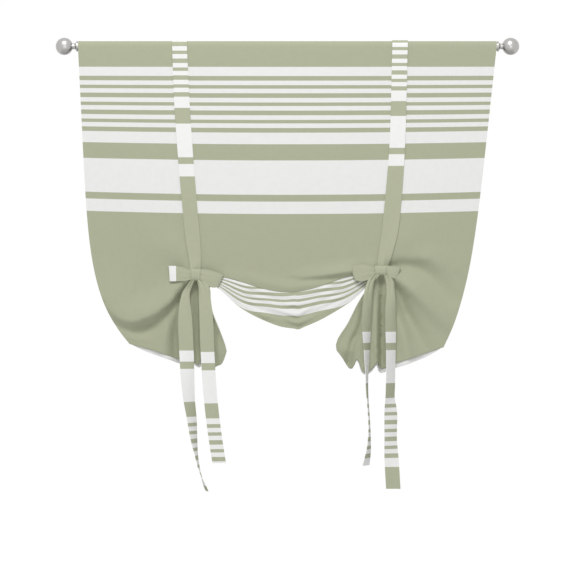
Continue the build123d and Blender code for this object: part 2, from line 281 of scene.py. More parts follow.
def swag_thread(across):
    """The thread at this place between the notches, -1 at the left one to 1 at the right one."""
    share = (across + 1) / 2
    notch_z = left.notch_z * (1 - share) + right.notch_z * share
    middle = 1 - across * across

    def x_at(z):
        down = np.clip((pocket_radius - z) / (pocket_radius - notch_z), 0, 1)
        from_left = -(left.seam_top + (left.notch_x - left.seam_top) * down)
        from_right = right.seam_top + (right.notch_x - right.seam_top) * down
        return from_left + (from_right - from_left) * share

    # Heights of its folds and spread of its layers, from the knots (middle 0) to the middle (1)
    low = notch_z - swag_drop * middle**swag_sag_power
    top = -430 - 70 * middle
    second_low = low + 4 + 20 * middle
    second_top = -440 - 50 * middle
    hem = float(along(hem_line, -left.notch_x + (left.notch_x + right.notch_x) * share))
    gap = 1.3 + 1.7 * abs(across) ** 8
    fullness = 1 + 29 * middle
    return Thread(x_at, (low, top, second_low, second_top, hem), gap, fullness, across)


# Folds pressed into the gathered cloth: each a line of (x, height) on the face, how far it stands out
# at its start, middle and end, and its spread to the left and to the right of its run, start and end
folds = {
    "left pouch": (
        [(-270, -642), (-302, -686), (-333, -718), (-370, -744), (-412, -762), (-440, -763), (-468, -752),
         (-502, -720)], (12, 18, 9), (9, 16), (26, 74)),
    "left pouch shadow": (
        [(-284, -672), (-330, -741), (-372, -776), (-412, -793), (-446, -795), (-484, -778)],
        (-11, -12, -5), (16, 30), (10, 12)),
    "left second roll": ([(-372, -812), (-425, -812), (-470, -794)], (0, 6, 3), (10, 12), (12, 12)),
    "left lobe valley": (
        [(-278, -668), (-300, -740), (-312, -790), (-311, -900)], (-6, -12, -18), (8, 24), (8, 15)),
    "left lobe ridge": ([(-295, -700), (-335, -780), (-352, -890)], (0, 5, 7), (14, 22), (16, 26)),
    "left middle valley": ([(-255, -655), (-252, -760), (-251, -900)], (-11, -12, -10), (8, 13), (8, 13)),
    "left flap valley": ([(-214, -700), (-206, -760), (-198, -900)], (-4, -10, -12), (7, 9), (7, 9)),
    "left flap back": (
        [(-210, -730), (-188, -799), (-172, -849), (-172, -900)], (-6, -18, -22), (16, 24), (16, 24)),
    "right cheek": (
        [(270, -636), (305, -650), (347, -681), (403, -735), (462, -785)], (6, 18, 6), (14, 50), (10, 26)),
    "right cheek top": (
        [(285, -612), (330, -612), (368, -622), (410, -650), (452, -700)],
        (-8, -12, -4), (12, 24), (12, 24)),
    "right second ridge": ([(330, -590), (390, -590), (450, -620)], (2, 7, 2), (20, 40), (10, 20)),
    "right lobe valley": (
        [(282, -655), (306, -684), (330, -742), (356, -790), (385, -850)],
        (-8, -20, -8), (10, 24), (10, 22)),
    "right lobe ridge": ([(300, -740), (322, -800), (340, -880)], (0, 8, 8), (10, 16), (12, 18)),
    "right deep valley": ([(262, -648), (263, -760), (263, -910)], (-12, -15, -15), (8, 9), (8, 9)),
    "right middle ridge": ([(252, -660), (247, -760), (246, -910)], (0, 6, 8), (6, 7), (6, 7)),
    "right flap crease": (
        [(222, -690), (202, -783), (182, -827), (170, -890)], (-8, -17, -16), (9, 10), (9, 12)),
    "right flap back": (
        [(205, -700), (172, -769), (138, -844), (150, -890)], (-8, -22, -25), (22, 34), (22, 34)),
    "swag crease": ([(30, -642), (105, -637), (178, -627), (225, -622)], (3, 9, 9), (18, 26), (7, 7)),
    "under swag crease": (
        [(40, -656), (105, -650), (178, -640), (225, -632)], (-2, -5, -5), (8, 8), (8, 8)),
    "swag roll": (
        [(-200, -636), (-117, -644), (-50, -662), (10, -672), (72, -660), (138, -646), (205, -634)],
        (1, 5, 1), (16, 16), (14, 14)),
    "soft fold over left knot": (
        [(-262, -610), (-330, -560), (-430, -520)], (3, 5, 0), (20, 60), (20, 60)),
    "soft fold over right knot": (
        [(272, -598), (330, -540), (420, -470)], (3, 5, 0), (20, 60), (20, 60)),
}
steps_per_run = 6


def fold_lift(x, z, line, heights, left_spread, right_spread):
    """How far one fold lifts the cloth at each place: a smooth hump on both sides of its line."""
    places = np.linspace(0, len(line) - 1, steps_per_run * (len(line) - 1) + 1)
    line_x = along([(k, p[0]) for k, p in enumerate(line)], places)
    line_z = along([(k, p[1]) for k, p in enumerate(line)], places)
    way_x = np.gradient(line_x)
    way_z = np.gradient(line_z)
    nearest = np.full(x.shape, 1e9)
    share = np.zeros(x.shape)
    side = np.zeros(x.shape)
    for k in range(len(places) - 1):
        run_x = line_x[k + 1] - line_x[k]
        run_z = line_z[k + 1] - line_z[k]
        part = ((x - line_x[k]) * run_x + (z - line_z[k]) * run_z) / (run_x**2 + run_z**2)
        part = np.clip(part, 0, 1)
        off_x = x - line_x[k] - part * run_x
        off_z = z - line_z[k] - part * run_z
        away = np.hypot(off_x, off_z)
        closer = away < nearest
        nearest = np.where(closer, away, nearest)
        share = np.where(closer, (k + part) / (len(places) - 1), share)
        here_x = way_x[k] + (way_x[k + 1] - way_x[k]) * part
        here_z = way_z[k] + (way_z[k + 1] - way_z[k]) * part
        side = np.where(closer, here_x * off_z - here_z * off_x, side)
    spread_left = left_spread[0] + (left_spread[1] - left_spread[0]) * share
    spread_right = right_spread[0] + (right_spread[1] - right_spread[0]) * share
    spread = np.where(side > 0, spread_left, spread_right)
    height = np.interp(share, [0, 0.5, 1], heights)
    return height * np.exp(-((nearest / spread) ** 2))


def face_relief(x, z):
    """How far the hanging cloth leans, and how far it waves and folds, towards the window."""
    lean = -front_lean * smooth(0, -600, z)
    broad_wave = 0.9 * np.sin(x / 61 + 0.6) * np.sin(z / 140 + 1.1)
    fine_wave = 0.5 * np.sin(x / 27 + z / 90)
    relief = (broad_wave + fine_wave) * smooth(-40, -260, z)
    for line, heights, left_spread, right_spread in folds.values():
        relief = relief - fold_lift(x, z, line, heights, left_spread, right_spread)
    return lean, relief


# How far the low stripes sag in the middle
stripe_sag = 10


def face_print(x, z):
    """Where in the print each place of the front layer lies; low stripes sag a little in the middle."""
    sag = stripe_sag * (1 - (x / (flat_width / 2)) ** 2) * smooth(0, -450, z)
    return cloth_top - z - sag


# Rows along each thread: over the pocket, down the plain and the folded face, in each turn and layer
flap_rows = 5
over_rod_rows = 12
plain_rows = 24
folded_rows = 72
turn_rows = 5
layer_rows = 13
hidden_tuck_rows = 6
shown_tuck_rows = 30
pocket_rows = flap_rows + over_rod_rows
face_rows = plain_rows + folded_rows
tuck_rows = hidden_tuck_rows + shown_tuck_rows
turn_angles = np.linspace(0, pi, turn_rows + 2)[1:-1]

# Layers folded up behind the face, the height under which they bulge, and the share of the
# last one that the others hide
folded_layers = 4
folds_start = -430
tuck_hidden = 0.6

# Depth from the face to the pocket's flap where it is sewn down
flap_gap = 1.6

# Print on the pocket, and where in the pattern the sliver under an ear, the fold over it
# and the hem lie
flap_print = -28
over_rod_print = -40
sliver_print = 1225
second_top_print = sliver_print + 160
ear_hem_print = 1590


def hang(thread):
    """The rows of one thread: height, depth without relief, print (None on the face), and how far
    a row in a turn stands out from its fold's line (None elsewhere)."""
    low, top, second_low, second_top, hem = thread.folds
    gap = thread.gap
    half = gap / 2
    rows = []
    for z in np.linspace(pocket_radius - pocket_depth, -pocket_radius, flap_rows):
        share = smooth(-pocket_radius, pocket_radius - pocket_depth, z)
        depth = pocket_radius - (2 * pocket_radius - flap_gap) * share
        rows.append((z, depth, z - cloth_top + flap_print, None))
    for angle in np.linspace(0, pi, over_rod_rows + 1)[:-1]:
        height = pocket_radius * sin(angle)
        rows.append((height, pocket_radius * cos(angle), over_rod_print * (1 - angle / pi), None))
    plain = np.linspace(0, folds_start, plain_rows, endpoint=False)
    for z in np.concatenate([plain, np.linspace(folds_start, low + half, folded_rows)]):
        rows.append((z, -pocket_radius, None, None))
    low_print = cloth_top - low
    top_print = 0.5 * (low_print + sliver_print)
    stages = [
        (-1, low + half, top - half, low_print, top_print),
        (1, top - half, second_low + half, top_print, sliver_print),
        (-1, second_low + half, second_top - half, sliver_print, second_top_print),
        (1, second_top - half, hem, second_top_print, ear_hem_print),
    ]

    def bulge(z, layers):
        """How far this many layers bulge towards the window between the fold and the cloth above it."""
        rise = np.clip((z - low) / (folds_start - low), 0, 1)
        return thread.fullness * layers / folded_layers * np.sin(pi * rise) ** 1.5

    for index, (way, start, end, start_print, end_print) in enumerate(stages):
        for angle in turn_angles:
            depth = -pocket_radius + index * gap + half - half * cos(angle)
            depth += bulge(start, index + angle / pi)
            rows.append((start, depth, start_print, way * half * sin(angle)))
        shares = np.linspace(0, 1, layer_rows)
        if index == folded_layers - 1:
            hidden = np.linspace(0, tuck_hidden, hidden_tuck_rows, endpoint=False)
            shares = np.concatenate([hidden, np.linspace(tuck_hidden, 1, shown_tuck_rows)])
        for share in shares:
            z = start + (end - start) * share
            depth = -pocket_radius + (index + 1) * gap + bulge(z, index + 1)
            rows.append((z, depth, start_print + (end_print - start_print) * share, None))
    return rows


flap_threads = 14
ear_threads = 66
swag_threads = 66
shares = [flap_share * k / flap_threads for k in range(flap_threads)]
shares += [flap_share + (1 - flap_share) * k / ear_threads for k in range(ear_threads + 1)]
threads = [ear_thread(left, share) for share in reversed(shares)]
threads += [swag_thread(-1 + 2 * k / swag_threads) for k in range(1, swag_threads)]
threads += [ear_thread(right, share) for share in shares]

hung = [hang(thread) for thread in threads]
height = np.array([[row[0] for row in rows] for rows in hung])
depth = np.array([[row[1] for row in rows] for rows in hung])
place = np.array([[np.nan if row[2] is None else row[2] for row in rows] for rows in hung])
turn = np.array([[0.0 if row[3] is None else row[3] for row in rows] for rows in hung])
x = np.array([thread.x_at(height[k]) for k, thread in enumerate(threads)])

# Over the rod each thread keeps its place across
in_pocket = height > 0
x = np.where(in_pocket, np.array([[thread.x_at(np.array(0.0))] for thread in threads]), x)

# Each turn of a fold is rounded square to the line of that fold
run_x = np.gradient(x, axis=0)
run_z = np.gradient(height, axis=0)
run = np.hypot(run_x, run_z)
out_x = -run_z / run
out_z = run_x / run
x = x + turn * out_x
height = height + turn * out_z

place = np.where(np.isnan(place), face_print(x, height), place)

# The layers behind hang as deep as the face's deepest valleys below them, so that none comes
# through it: smoothed over valley_margin, less near the fold, and eased again above the knots
valley_margin = 70
fold_reach = 25
above_knots = -560
below_knots = -650
depth_above_knots = 0.2
front_rows = pocket_rows + face_rows
lean, relief = face_relief(x, height)
for k in range(len(threads)):
    in_front = relief[k, front_rows - 1 : pocket_rows : -1].copy()
    deepest = np.maximum.accumulate(in_front)
    upwards = height[k, front_rows - 1 : pocket_rows : -1]
    hidden = height[k, front_rows:]
    reach = valley_margin * smooth(upwards[0], upwards[0] + fold_reach, hidden)
    above = [np.interp(hidden + part * reach, upwards, deepest) for part in (0, 0.25, 0.5, 0.75, 1)]
    kept_depth = depth_above_knots + (1 - depth_above_knots) * smooth(above_knots, below_knots, hidden)
    settled = np.mean(above, axis=0) * kept_depth
    relief[k, front_rows:] = np.maximum(settled, np.interp(hidden, upwards, in_front))
relief = lean + relief
relief[:, :pocket_rows] = 0

# The swag's last layer: its print from the hem up, its bulge under the front fold, and its pleats.
# hem_print gives how far above the cloth's end the hem's print starts, by distance from the tip
hem_tip = 0.05
hem_print = [(0, 28), (0.3, 39), (0.6, 70), (0.8, 76), (1.05, 82)]
print_height = 132
print_height_lost = 20
first_swag_print = 1100
shortest_swag = 25
under_fold_bulge = 7
hem_bulge = 3
pleat_height = 1.3
pleat_count = 4.1
pleat_start = 0.1
last = slice(x.shape[1] - tuck_rows, x.shape[1])
for k, thread in enumerate(threads):
    if thread.across is None:
        continue
    low = thread.folds[0]
    hem = thread.folds[-1]
    share = (low - height[k, last]) / max(low - hem, shortest_swag)
    from_hem = float(along(hem_print, abs(thread.across - hem_tip)))
    from_hem = from_hem + (print_height - print_height_lost * thread.across**2) * (1 - share)
    place[k, last] = np.clip(flat_length - from_hem, first_swag_print, flat_length)
    fade = smooth(1, 0.85, abs(thread.across)) * smooth(-0.35, -0.1, share)
    pleats = pleat_height * np.cos(2 * pi * (share * pleat_count + pleat_start))
    pleats = pleats * smooth(1.05, 0.6, share)
    bulge = under_fold_bulge * smooth(-0.16, 0.14, share) + hem_bulge * smooth(0.1, 1, share)
    relief[k, last] = relief[k, last] + fade * (pleats - bulge)

# Wrinkles in the hem: each a line and how far its middle stands out, soft above and sharp below
wrinkles = [
    ([(-96, -706), (-60, -722), (11, -747), (32, -747), (71, -722), (112, -700)], 7.0),
    ([(-90, -742), (-62, -756), (-40, -758)], 5.0),
    ([(-22, -752), (28, -772), (74, -754)], 7.0),
    ([(-30, -712), (14, -722), (60, -712)], 5.0),
    ([(-90, -690), (-10, -706), (60, -700), (120, -680)], 2.0),
]
spread_above = (13, 13)
spread_below = (4, 4)
for line, lift in wrinkles:
    lifts = (0, -lift, 0)
    relief[:, last] += fold_lift(x[:, last], height[:, last], line, lifts, spread_above, spread_below)
depth = depth + relief


# Turns of more than this many degrees are shaded as edges
sharp_turn = 60


def sew(name, patches, thickness, materials):
    """One closed mesh of cloth from patches of points in columns and rows. Each patch is
    (points, print places, closed round), and its printed side is the one from which its rows
    run down and its columns run to the right."""
    verts = []
    faces = []
    sides = []
    spots = []
    for points, prints, closed in patches:
        columns, rows = points.shape[:2]
        if closed:
            wrapped = np.concatenate([points[-1:], points, points[:1]])
            across = np.gradient(wrapped, axis=0)[1:-1]
        else:
            across = np.gradient(points, axis=0)
        down = np.gradient(points, axis=1)
        normal = np.cross(down, across)
        normal /= np.maximum(np.linalg.norm(normal, axis=2, keepdims=True), 1e-9)
        first = len(verts)
        for way in (0.5, -0.5):
            verts += (points + way * thickness * normal).reshape(-1, 3).tolist()
            spots += prints.reshape(-1, 2).tolist()
        back = columns * rows

        def at(column, row):
            return first + (column % columns) * rows + row

        last_column = columns if closed else columns - 1
        for column in range(last_column):
            for row in range(rows - 1):
                a, b = at(column, row), at(column, row + 1)
                c, d = at(column + 1, row + 1), at(column + 1, row)
                faces.append((a, b, c, d))
                faces.append((c + back, b + back, a + back, d + back))
                sides += [0, 1]
            for row, forward in ((0, True), (rows - 1, False)):
                a, b = at(column, row), at(column + 1, row)
                faces.append((a, b, b + back, a + back) if forward else (b, a, a + back, b + back))
                sides.append(0)
        if not closed:
            for column, forward in ((0, False), (columns - 1, True)):
                for row in range(rows - 1):
                    a, b = at(column, row), at(column, row + 1)
                    faces.append((a, b, b + back, a + back) if forward else (b, a, a + back, b + back))
                    sides.append(0)
    mesh = bpy.data.meshes.new(name)
    mesh.from_pydata([[v / 1000 for v in vert] for vert in verts], [], faces)
    layer = mesh.uv_layers.new(name="print")
    corners = np.empty(len(mesh.loops), dtype=np.int32)
    mesh.loops.foreach_get("vertex_index", corners)
    layer.data.foreach_set("uv", (np.array(spots)[corners] / 1000).ravel())
    for material in materials:
        mesh.materials.append(material)
    mesh.polygons.foreach_set("material_index", [min(side, len(materials) - 1) for side in sides])
    mesh.shade_smooth()
    mesh.set_sharp_from_angle(angle=radians(sharp_turn))
    mesh.validate()
    piece = bpy.data.objects.new(name, mesh)
    bpy.context.scene.collection.objects.link(piece)
    return piece


def striped_print_group():
    """The print: reads the place along the cloth in metres and gives how white it is there."""
    group = new_group(
        "striped_print",
        [("Length", 0.0), ("Cloth length", flat_length / 1000)],
        [("White", "NodeSocketFloat")],
    )
    mirrored = add_node(group, "Math", operation="SUBTRACT")
    nearer = add_node(group, "Math", operation="MINIMUM")
    share = add_node(group, "Math", operation="DIVIDE")
    share.inputs[1].default_value = flat_length / 2 / 1000
    ramp = add_node(group, "ValToRGB")
    ramp.color_ramp.interpolation = "CONSTANT"
    stops = ramp.color_ramp.elements
    while len(stops) < len(print_edges):
        stops.new(1)
    for k, edge in enumerate(print_edges):
        stops[k].position = edge / (flat_length / 2)
        stops[k].color = (0, 0, 0, 1) if k % 2 == 0 else (1, 1, 1, 1)
    group.links.new(group.nodes["in"].outputs["Cloth length"], mirrored.inputs[0])
    group.links.new(group.nodes["in"].outputs["Length"], mirrored.inputs[1])
    group.links.new(group.nodes["in"].outputs["Length"], nearer.inputs[0])
    group.links.new(mirrored.outputs[0], nearer.inputs[1])
    group.links.new(nearer.outputs[0], share.inputs[0])
    group.links.new(share.outputs[0], ramp.inputs["Fac"])
    group.links.new(ramp.outputs["Color"], group.nodes["out"].inputs["White"])
    return group


def weave_group():
    """A plain weave: height of its threads, and a slight unevenness of their tone."""
    group = new_group(
        "weave",
        [("Threads", 1400.0), ("Unevenness", 0.05)],
        [("Height", "NodeSocketFloat"), ("Tone", "NodeSocketFloat")],
    )
    place = add_node(group, "UVMap", uv_map="print")
    split = add_node(group, "SeparateXYZ")
    group.links.new(place.outputs["UV"], split.inputs[0])
    waves = []
    for label in ("X", "Y"):
        count = add_node(group, "Math", operation="MULTIPLY")
        wave = add_node(group, "Math", operation="SINE")
        group.links.new(split.outputs[label], count.inputs[0])
        group.links.new(group.nodes["in"].outputs["Threads"], count.inputs[1])
        group.links.new(count.outputs[0], wave.inputs[0])
        waves.append(wave)
    height = add_node(group, "Math", operation="MULTIPLY")
    group.links.new(waves[0].outputs[0], height.inputs[0])
    group.links.new(waves[1].outputs[0], height.inputs[1])
    slub = add_node(group, "TexNoise", noise_dimensions="2D")
    slub.inputs["Scale"].default_value = 60.0
    slub.inputs["Detail"].default_value = 4.0
    centred = add_node(group, "Math", operation="SUBTRACT")
    centred.inputs[1].default_value = 0.5
    tone = add_node(group, "Math", operation="MULTIPLY_ADD")
    tone.inputs[2].default_value = 1.0
    group.links.new(place.outputs["UV"], slub.inputs["Vector"])
    group.links.new(slub.outputs["Fac"], centred.inputs[0])
    group.links.new(centred.outputs[0], tone.inputs[0])
    group.links.new(group.nodes["in"].outputs["Unevenness"], tone.inputs[1])
    group.links.new(height.outputs[0], group.nodes["out"].inputs["Height"])
    group.links.new(tone.outputs[0], group.nodes["out"].inputs["Tone"])
    return group


striped_print = striped_print_group()
weave = weave_group()


# Sockets of the colour Mix node, whose labels its other kinds share
mix_share = 0
mix_first = 6
mix_second = 7
mix_colour = 2


def cloth(name, ground, stripe, printed=True):
    """Woven polyester with a matt face: ground printed with stripes, or the stripe's colour alone."""
    material = bpy.data.materials.new(name)
    material.use_nodes = True
    tree = material.node_tree
    shader = tree.nodes["Principled BSDF"]
    shader.inputs["Roughness"].default_value = 0.86
    shader.inputs["Specular IOR Level"].default_value = 0.25
    threads = add_node(tree, "Group", node_tree=weave)
    colour = add_node(tree, "Mix", data_type="RGBA", blend_type="MIX")
    colour.inputs[mix_share].default_value = 1.0
    colour.inputs[mix_first].default_value = (*ground, 1)
    colour.inputs[mix_second].default_value = (*stripe, 1)
    if printed:
        place = add_node(tree, "UVMap", uv_map="print")
        split = add_node(tree, "SeparateXYZ")
        pattern = add_node(tree, "Group", node_tree=striped_print)
        tree.links.new(place.outputs["UV"], split.inputs[0])
        tree.links.new(split.outputs["Y"], pattern.inputs["Length"])
        tree.links.new(pattern.outputs["White"], colour.inputs[mix_share])
    toned = add_node(tree, "Mix", data_type="RGBA", blend_type="MULTIPLY")
    toned.inputs[mix_share].default_value = 1.0
    bump = add_node(tree, "Bump", strength=0.12, distance=0.0002)
    tree.links.new(colour.outputs[mix_colour], toned.inputs[mix_first])
    tree.links.new(threads.outputs["Tone"], toned.inputs[mix_second])
    tree.links.new(toned.outputs[mix_colour], shader.inputs["Base Color"])
    tree.links.new(threads.outputs["Height"], bump.inputs["Height"])
    tree.links.new(bump.outputs["Normal"], shader.inputs["Normal"])
    return material


curtain_face = cloth("curtain_face", green, white)
curtain_back = cloth("curtain_back", white, white, printed=False)
across_cloth = np.linspace(-flat_width / 2, flat_width / 2, len(threads))[:, None] + 0 * x
curtain = sew(
    "curtain",
    [(np.stack([x, depth, height], axis=2), np.stack([across_cloth, place], axis=2), False)],
    cloth_thickness,
    [curtain_face, curtain_back],
)
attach(curtain, "root")
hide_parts("curtain_panel")


# Front ties: flat straps of the same cloth, sewn double, 40 mm wide and sewn in
# at the top of the pocket. Each comes down the face to its bow and makes the
# knot's wrap, the outer loop and the outer tail.
tie_width = 40
tie_thickness = 1.5
strap_clearance = 2.2
knot_depth = 15
# The ties' green and white are the curtain's own colours painted about 7% lighter: painted light, standing
# in for the extra light the straps catch where they lie in front of the face.
tie_green_painted_lighter = (0.435, 0.455, 0.325)
tie_cloth = cloth("tie_cloth", tie_green_painted_lighter, (0.86, 0.86, 0.85))
over_rod = pocket_radius + strap_clearance
strap_over_rod_rows = 7
strap_rows = 66


def strap_line(places, way):
    """A strap laid flat from over the rod, down the front (way -1) or the back (1) of the curtain.
    Its places are (height, middle outwards, width). Gives rows of height, middle outwards, width
    and depth, which is None below the rod."""
    rows = []
    middle_top, width_top = places[0][1:]
    for angle in np.linspace(pi / 2, 0, strap_over_rod_rows + 1)[:-1]:
        rows.append((over_rod * sin(angle), middle_top, width_top, way * over_rod * cos(angle)))
    middles = [(-p[0], p[1]) for p in places]
    widths = [(-p[0], p[2]) for p in places]
    for z in np.linspace(0, places[-1][0], strap_rows):
        rows.append((z, float(along(middles, -z)), float(along(widths, -z)), None))
    return rows


# Above its knot a front strap is drawn together into soft gathers over this length
strap_columns = 9
gathered_length = 110
gather_lift = 1.5
gather_wave = 1.4


def strap_patch(ear, places, print_start, print_rate):
    """The front strap of one side, lying on the curtain's face and gathered where it meets the knot."""
    rows = strap_line(places, -1)
    z = np.array([[row[0] for row in rows]] * strap_columns)
    middle = np.array([[row[1] for row in rows]] * strap_columns)
    width = np.array([[row[2] for row in rows]] * strap_columns)
    v = np.linspace(-1, 1, strap_columns)[:, None] + 0 * z
    x = ear.sign * middle + v * width / 2
    lying = -pocket_radius - strap_clearance + sum(face_relief(x, np.minimum(z, 0)))
    bent = np.array([[0.0 if row[3] is None else row[3] for row in rows]] * strap_columns)
    straight = np.array([[row[3] is None for row in rows]] * strap_columns)
    y = np.where(straight, lying, bent)
    near_knot = smooth(ear.knot_z + gathered_length, ear.knot_z, z)
    y = y - near_knot * (gather_lift + gather_wave * np.cos(2.5 * pi * v))
    spots = print_start + print_rate * (cloth_top - z)
    return np.stack([x, y, z], axis=2), np.stack([v * tie_width / 2, spots], axis=2), False


# The knots sit on the front straps, pressed into them a little
knot_columns = 32
knot_rows = 15
knot_pressed_in = 1
knot_print = 760
knot_y = -pocket_radius - front_lean - strap_clearance - knot_depth / 2 + knot_pressed_in


def knot_patch(ear, width, height, lift):
    """The wrap of a knot: a short band round the place where strap, loops and tails meet."""
    angles = np.linspace(0, 2 * pi, knot_columns + 1)[:-1]
    v = np.linspace(-1, 1, knot_rows)[None, :] + 0 * angles[:, None]
    round_z = np.sign(np.cos(angles)) * np.abs(np.cos(angles)) ** 0.75
    round_y = np.sign(np.sin(angles)) * np.abs(np.sin(angles)) ** 0.75
    gathers = 1 + 0.07 * np.cos(3 * pi * v + 0.4) - 0.25 * v**4
    x = ear.sign * ear.knot_x + v * width / 2 * (1 + 0.06 * round_z[:, None])
    y = knot_y - round_y[:, None] * knot_depth / 2 * gathers
    z = ear.knot_z + lift + round_z[:, None] * height / 2 * (1 + 0.04 * np.cos(3 * pi * v))
    spots = knot_print + angles[:, None] / pi * height + 0 * v
    return np.stack([x, y, z], axis=2), np.stack([v * tie_width / 2, spots], axis=2), True


# A loop puffs out by loop_depth on both sides, and its print changes at this share of its reach
loop_columns = 41
loop_rows = 11
loop_depth = 6
print_change = 0.79


def loop_patch(ear, way, edges, prints):
    """One loop of a bow. way is -1 or 1 for the side it points to, and edges gives its top and
    bottom edge from the knot outwards as (top x, top z, bottom x, bottom z)."""
    there_and_back = np.linspace(-1, 1, loop_columns)
    out = np.cos(there_and_back * pi / 2)[:, None]
    v = np.linspace(-1, 1, loop_rows)[None, :] + 0 * out
    steps = np.linspace(0, 1, len(edges))
    top_x = along([(s, e[0]) for s, e in zip(steps, edges)], out)
    top_z = along([(s, e[1]) for s, e in zip(steps, edges)], out)
    low_x = along([(s, e[2]) for s, e in zip(steps, edges)], out)
    low_z = along([(s, e[3]) for s, e in zip(steps, edges)], out)
    half = (v + 1) / 2
    x = ear.sign * ear.knot_x + way * (low_x + (top_x - low_x) * half)
    z = ear.knot_z + low_z + (top_z - low_z) * half
    puff = np.sqrt(np.maximum(1 - out**4, 0)) * (0.3 + 0.7 * smooth(0, 0.55, out))
    sheet_side = np.sign(there_and_back)[:, None]
    gathers = (1 - out) ** 2 * 1.6 * np.cos(3 * pi * v)
    soft = 1 - 0.18 * v**2
    y = knot_y + sheet_side * loop_depth * puff * soft + gathers
    spots = np.interp(out, [0, print_change, 1], prints) + 0 * v
    points = np.stack([x, y, z], axis=2)
    if way > 0:
        points = points[:, ::-1]
    return points, np.stack([v * tie_width / 2, spots], axis=2), False


# Where the print lies down a tail: (height below its first white edge, place from the cloth's end)
tail_prints = [(-240, 800), (0, 473.3), (31.5, 438.4), (51.3, 420.3), (143.6, 325.5), (184, 283.6),
               (199.4, 250.2), (348.6, 99.6), (373.7, 74.5), (441, 10)]
tail_columns = 13
tail_rows = 84
tail_wave = 0.6
crease_depth = 2.2
least_curl = 0.02


def tail_patch(places, first_white):
    """A tail hanging from a knot, creased at its top. Its places are (height, x, y, width, turn
    in degrees, curl), and first_white is the height of its first white edge."""
    down = [-p[0] for p in places]
    z = np.linspace(places[0][0], places[-1][0], tail_rows)[None, :]
    v = np.linspace(-1, 1, tail_columns)[:, None] + 0 * z
    z = z + 0 * v

    def read(k):
        return along([(d, p[k]) for d, p in zip(down, places)], -z)

    width = read(3)
    turned = np.radians(read(4))
    curl = np.maximum(read(5), least_curl)
    flat_way = width / 2 * np.sin(curl * v) / curl
    bent_way = width / 2 * (1 - np.cos(curl * v)) / curl
    ripple = tail_wave * np.sin(-z / 46 + 1.3 * v)
    ripple = ripple + crease_depth * np.cos(2 * pi * v) * smooth(z.max() - 85, z.max() - 10, z)
    x = read(1) + flat_way * np.cos(turned) - (bent_way + ripple) * np.sin(turned)
    y = read(2) + flat_way * np.sin(turned) + (bent_way + ripple) * np.cos(turned)
    drops = [p[0] for p in tail_prints]
    spots = flat_length - np.interp(first_white - z, drops, [p[1] for p in tail_prints])
    return np.stack([x, y, z], axis=2), np.stack([v * tie_width / 2, spots], axis=2), False


def front_tie(ear, strap, print_start, print_rate, knot, loop, loop_prints, tail, first_white):
    """One front tie as a single piece of sewn cloth. Its print starts at print_start on the strap
    and runs on by print_rate for each millimetre down; knot is its width, height and lift."""
    tie = sew(
        f"front_tie_{ear.name}_cloth",
        [
            strap_patch(ear, strap, print_start, print_rate),
            knot_patch(ear, *knot),
            loop_patch(ear, ear.sign, loop, loop_prints),
            tail_patch(tail, first_white),
        ],
        tie_thickness,
        [tie_cloth],
    )
    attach(tie, "root")
    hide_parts(f"front_tie_{ear.name}")


front_tie(
    left,
    strap=[(0, 300.5, 41), (-172, 293, 43), (-308, 283.5, 42.5), (-455, 271, 41), (-540, 263, 40),
           (-610, 256, 30), (-640, 254.6, 24)],
    print_start=94.5, print_rate=1.0, knot=(26, 31, 3),
    loop=[(5, 10, 5, -8), (13, 17, 13, -10), (30, 22, 30, -14), (52, 27, 52, -15), (75, 28, 72, -15)],
    loop_prints=[520, 475, 446],
    tail=[(-643, -258, -31, 11, 0, 0.5), (-668, -272, -36, 15, 0, 0.4), (-683, -280, -39, 20, 0, 0.3),
          (-707, -284, -42, 26, 4, 0.2), (-735, -284, -44, 34, 8, 0.2), (-847, -280, -46, 40, 4, 0.1),
          (-897, -277.5, -46, 40, 18, 0.1), (-989, -271, -46, 40, 44, 0.1), (-1031, -265, -46, 40, 53, 0.1),
          (-1092, -258.5, -46, 40, 66, 0.1), (-1134, -252, -46, 40, 79, 0.1),
          (-1181, -242, -46, 40, 88, 0.1), (-1226, -226, -46, 36, 104, 0.1),
          (-1236, -222, -46, 30, 106, 0.1)],
    first_white=-848,
)
front_tie(
    right,
    strap=[(0, 313.3, 43), (-330, 302, 44), (-455, 291.5, 46), (-512, 285.5, 45), (-580, 272, 38),
           (-625, 262, 28)],
    print_start=103.5, print_rate=1.058, knot=(32, 25, 0),
    loop=[(8, 8, 8, -6), (18, 13, 18, -11), (32, 12, 30, -20), (55, 10, 45, -23)],
    loop_prints=[760, 730, 700],
    tail=[(-626, 266, -31, 15, 0, 0.5), (-640, 277, -34, 19, 0, 0.4), (-654, 283, -37, 22, 0, 0.3),
          (-680, 286, -40, 22, 10, 0.2), (-735, 286, -44, 34, 34, 0.2), (-796, 286.3, -46, 38, 40, 0.1),
          (-847, 287, -46, 40, 46, 0.1),
          (-941, 286, -46, 40, 50, 0.1), (-986, 285, -46, 40, 48, 0.1), (-1003, 286, -46, 40, 37, 0.1),
          (-1098, 286.4, -46, 40, 29, 0.1), (-1179, 290, -46, 40, 0, 0.1), (-1230, 293, -46, 40, 0, 0.1)],
    first_white=-796,
)


# Back ties: the same straps behind the curtain. Each comes down the back, is
# drawn under the gathered cloth beside the flap, bunched like a cord, and makes
# the bow's inner loop and inner tail. The strap's path is a list of (x, y, z,
# width, curl, turn in degrees).
bulge_room = 5
room_starts = -400
room_ends = -560
flat_curl = 0.05
into_knot = 9
back_strap_columns = 13
back_strap_print = 120
inner_loop_prints = [760, 730, 700]


